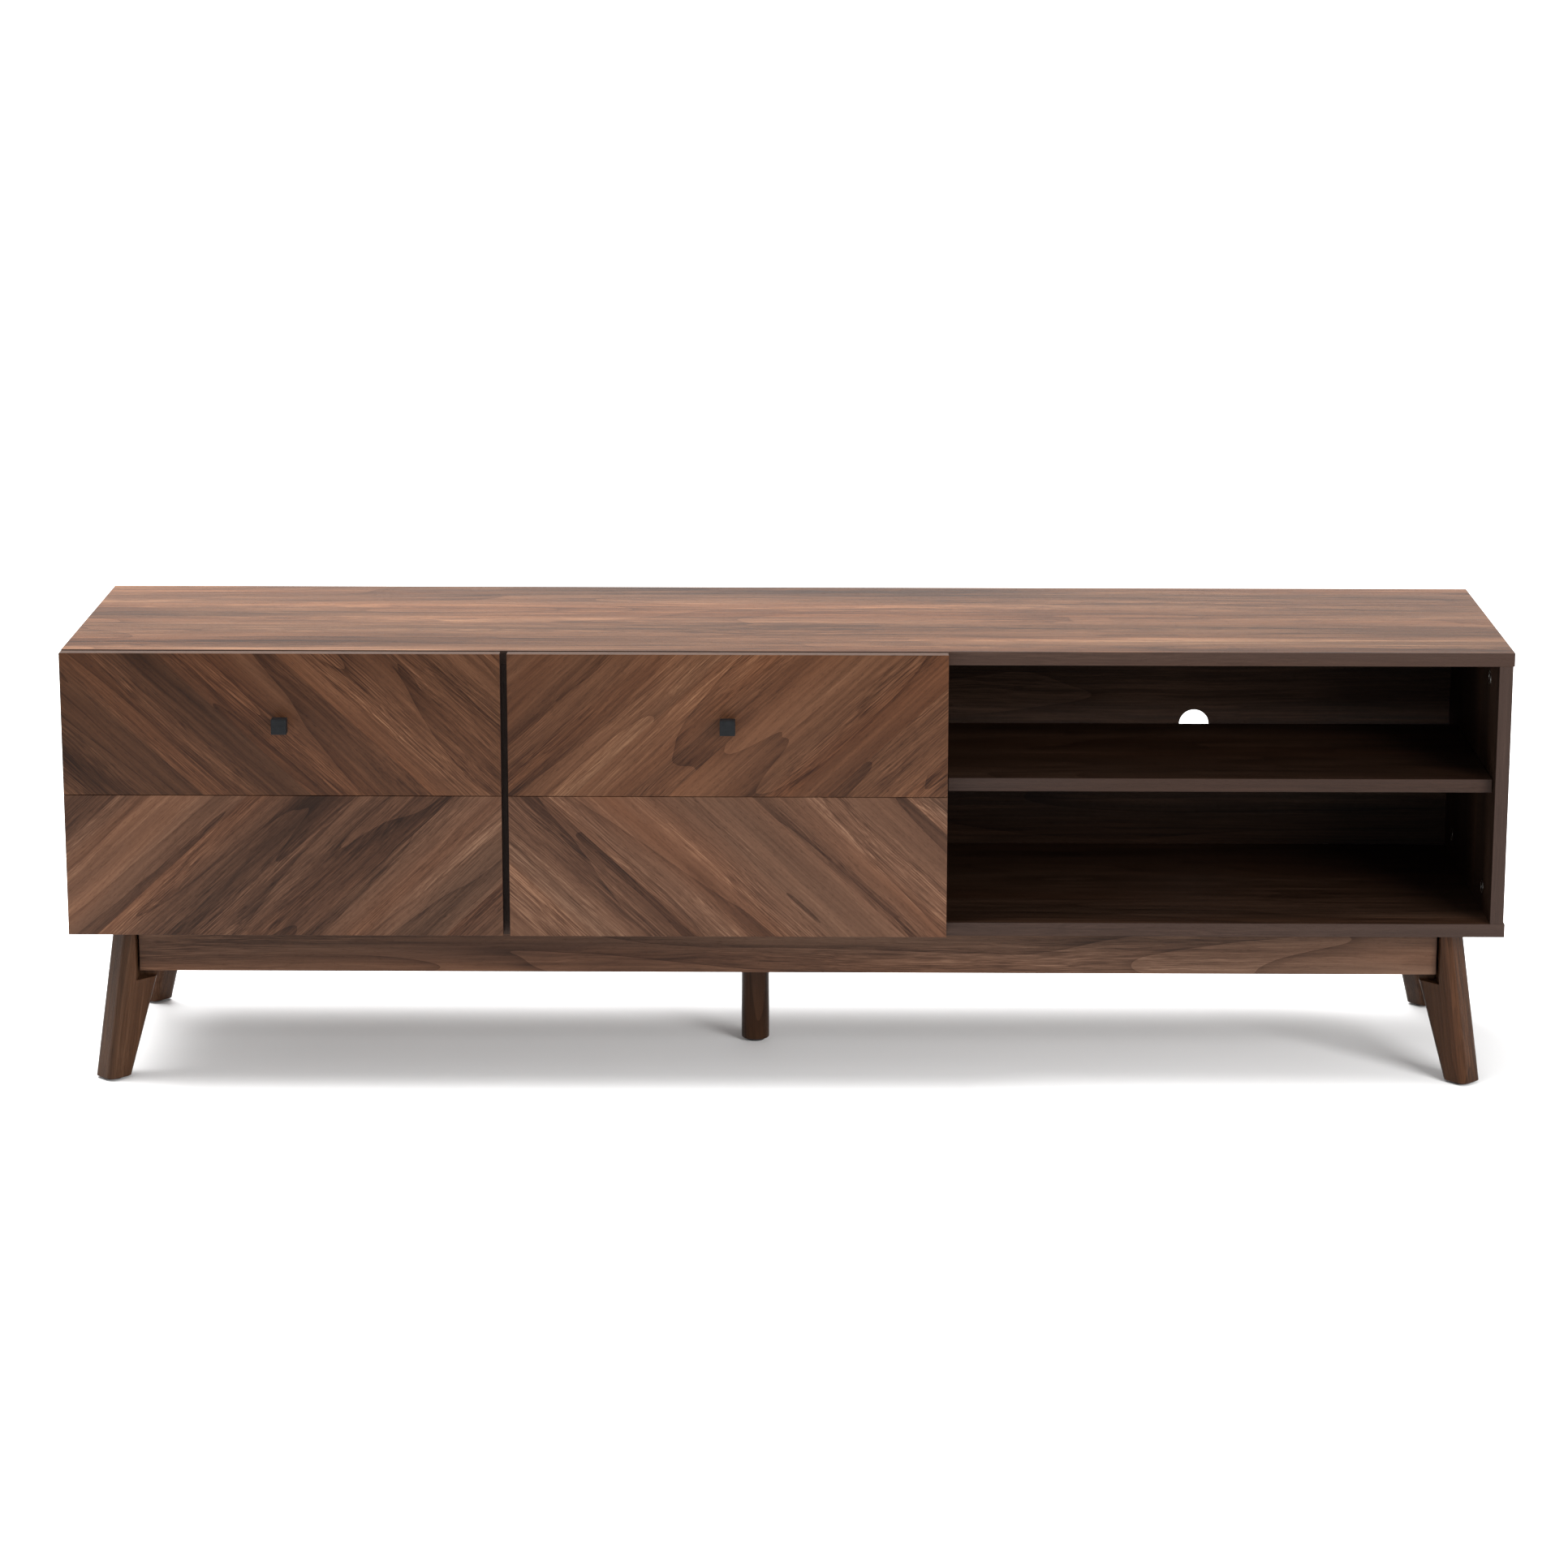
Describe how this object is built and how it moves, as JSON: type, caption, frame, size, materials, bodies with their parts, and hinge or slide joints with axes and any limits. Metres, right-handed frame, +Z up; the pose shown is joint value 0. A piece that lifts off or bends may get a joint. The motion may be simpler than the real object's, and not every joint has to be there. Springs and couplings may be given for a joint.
{
  "type": "television cabinet",
  "caption": "Low walnut-finish television cabinet on splayed tapered legs, with two drop-front flaps and an open shelved bay.",
  "frame": {"origin": "on the floor, under the middle of the bounding box, knobs included", "axes": "+X to the right along the cabinet, +Y to the back, +Z up; the flaps and the open bay face -Y"},
  "size_m": [1.6, 0.42, 0.5],
  "materials": {
    "walnut_top": "satin walnut laminate, grain along X",
    "walnut_boards": "satin walnut laminate with matching edge band",
    "walnut_rails": "satin walnut laminate, grain along the rail",
    "walnut_inside": "matt walnut laminate",
    "walnut_flaps": "satin walnut veneer laid as a chevron of slanted strips",
    "walnut_legs": "stained satin solid wood",
    "knob_metal": "dark satin gunmetal",
    "plated_steel": "bright zinc or nickel plate",
    "glide_plastic": "black matt plastic",
    "catch_plastic": "black matt plastic"
  },
  "bodies": {
    "cabinet": {"top_panel": "walnut_top", "bottom_panel": "walnut_boards", "side_panel_left": "walnut_boards", "side_panel_right": "walnut_boards", "shelf": "walnut_boards", "apron_front": "walnut_rails", "apron_rear": "walnut_rails", "side_rail_left": "walnut_rails", "side_rail_right": "walnut_rails", "centre_rail": "walnut_rails", "divider_left": "walnut_inside", "divider_right": "walnut_inside", "back_panel_left": "walnut_inside", "back_panel_centre": "walnut_inside", "back_panel_right": "walnut_inside", "leg_front_left": "walnut_legs", "leg_front_right": "walnut_legs", "leg_rear_left": "walnut_legs", "leg_rear_right": "walnut_legs", "centre_leg": "walnut_legs", "centre_leg_plate": "plated_steel", "glide_front_left": "glide_plastic", "glide_front_right": "glide_plastic", "glide_rear_left": "glide_plastic", "glide_rear_right": "glide_plastic", "glide_centre": "glide_plastic", "shelf_pin_left_front": "plated_steel", "shelf_pin_left_rear": "plated_steel", "shelf_pin_right_front": "plated_steel", "shelf_pin_right_rear": "plated_steel", "cam_lock_top_front": "plated_steel", "cam_lock_top_rear": "plated_steel", "cam_lock_bottom_front": "plated_steel", "cam_lock_bottom_rear": "plated_steel", "hinge_arm_left_outer": "plated_steel", "hinge_arm_left_inner": "plated_steel", "stay_anchor_left": "plated_steel", "magnet_catch_left": "catch_plastic", "hinge_arm_right_outer": "plated_steel", "hinge_arm_right_inner": "plated_steel", "stay_anchor_right": "plated_steel", "magnet_catch_right": "catch_plastic"},
    "flap_left": {"flap_panel_left": "walnut_flaps", "knob_left": "knob_metal", "knob_screw_left": "plated_steel", "hinge_cup_left_outer": "plated_steel", "hinge_cup_left_inner": "plated_steel", "stay_bracket_left": "plated_steel", "strike_plate_left": "plated_steel"},
    "stay_left": {"stay_bar_left": "plated_steel"},
    "flap_right": {"flap_panel_right": "walnut_flaps", "knob_right": "knob_metal", "knob_screw_right": "plated_steel", "hinge_cup_right_outer": "plated_steel", "hinge_cup_right_inner": "plated_steel", "stay_bracket_right": "plated_steel", "strike_plate_right": "plated_steel"},
    "stay_right": {"stay_bar_right": "plated_steel"}
  },
  "joints": [
    {"name": "flap_left_hinge", "type": "hinge", "parent": "cabinet", "child": "flap_left", "pos_m": [-0.55775, -0.1835, 0.1855], "axis": [1, 0, 0], "range_deg": [0, 90]},
    {"name": "flap_right_hinge", "type": "hinge", "parent": "cabinet", "child": "flap_right", "pos_m": [-0.06525, -0.1835, 0.1855], "axis": [1, 0, 0], "range_deg": [0, 90]},
    {"name": "stay_left_pivot", "type": "hinge", "parent": "flap_left", "child": "stay_left", "pos_m": [-0.7755, -0.163, 0.34418], "axis": [1, 0, 0], "range_deg": [-45, 0]},
    {"name": "stay_right_pivot", "type": "hinge", "parent": "flap_right", "child": "stay_right", "pos_m": [0.155, -0.163, 0.34418], "axis": [1, 0, 0], "range_deg": [-45, 0]}
  ],
  "couplings": [
    {"joint": "stay_left_pivot", "follows": "flap_left_hinge", "ratio": -0.5},
    {"joint": "stay_right_pivot", "follows": "flap_right_hinge", "ratio": -0.5}
  ]
}
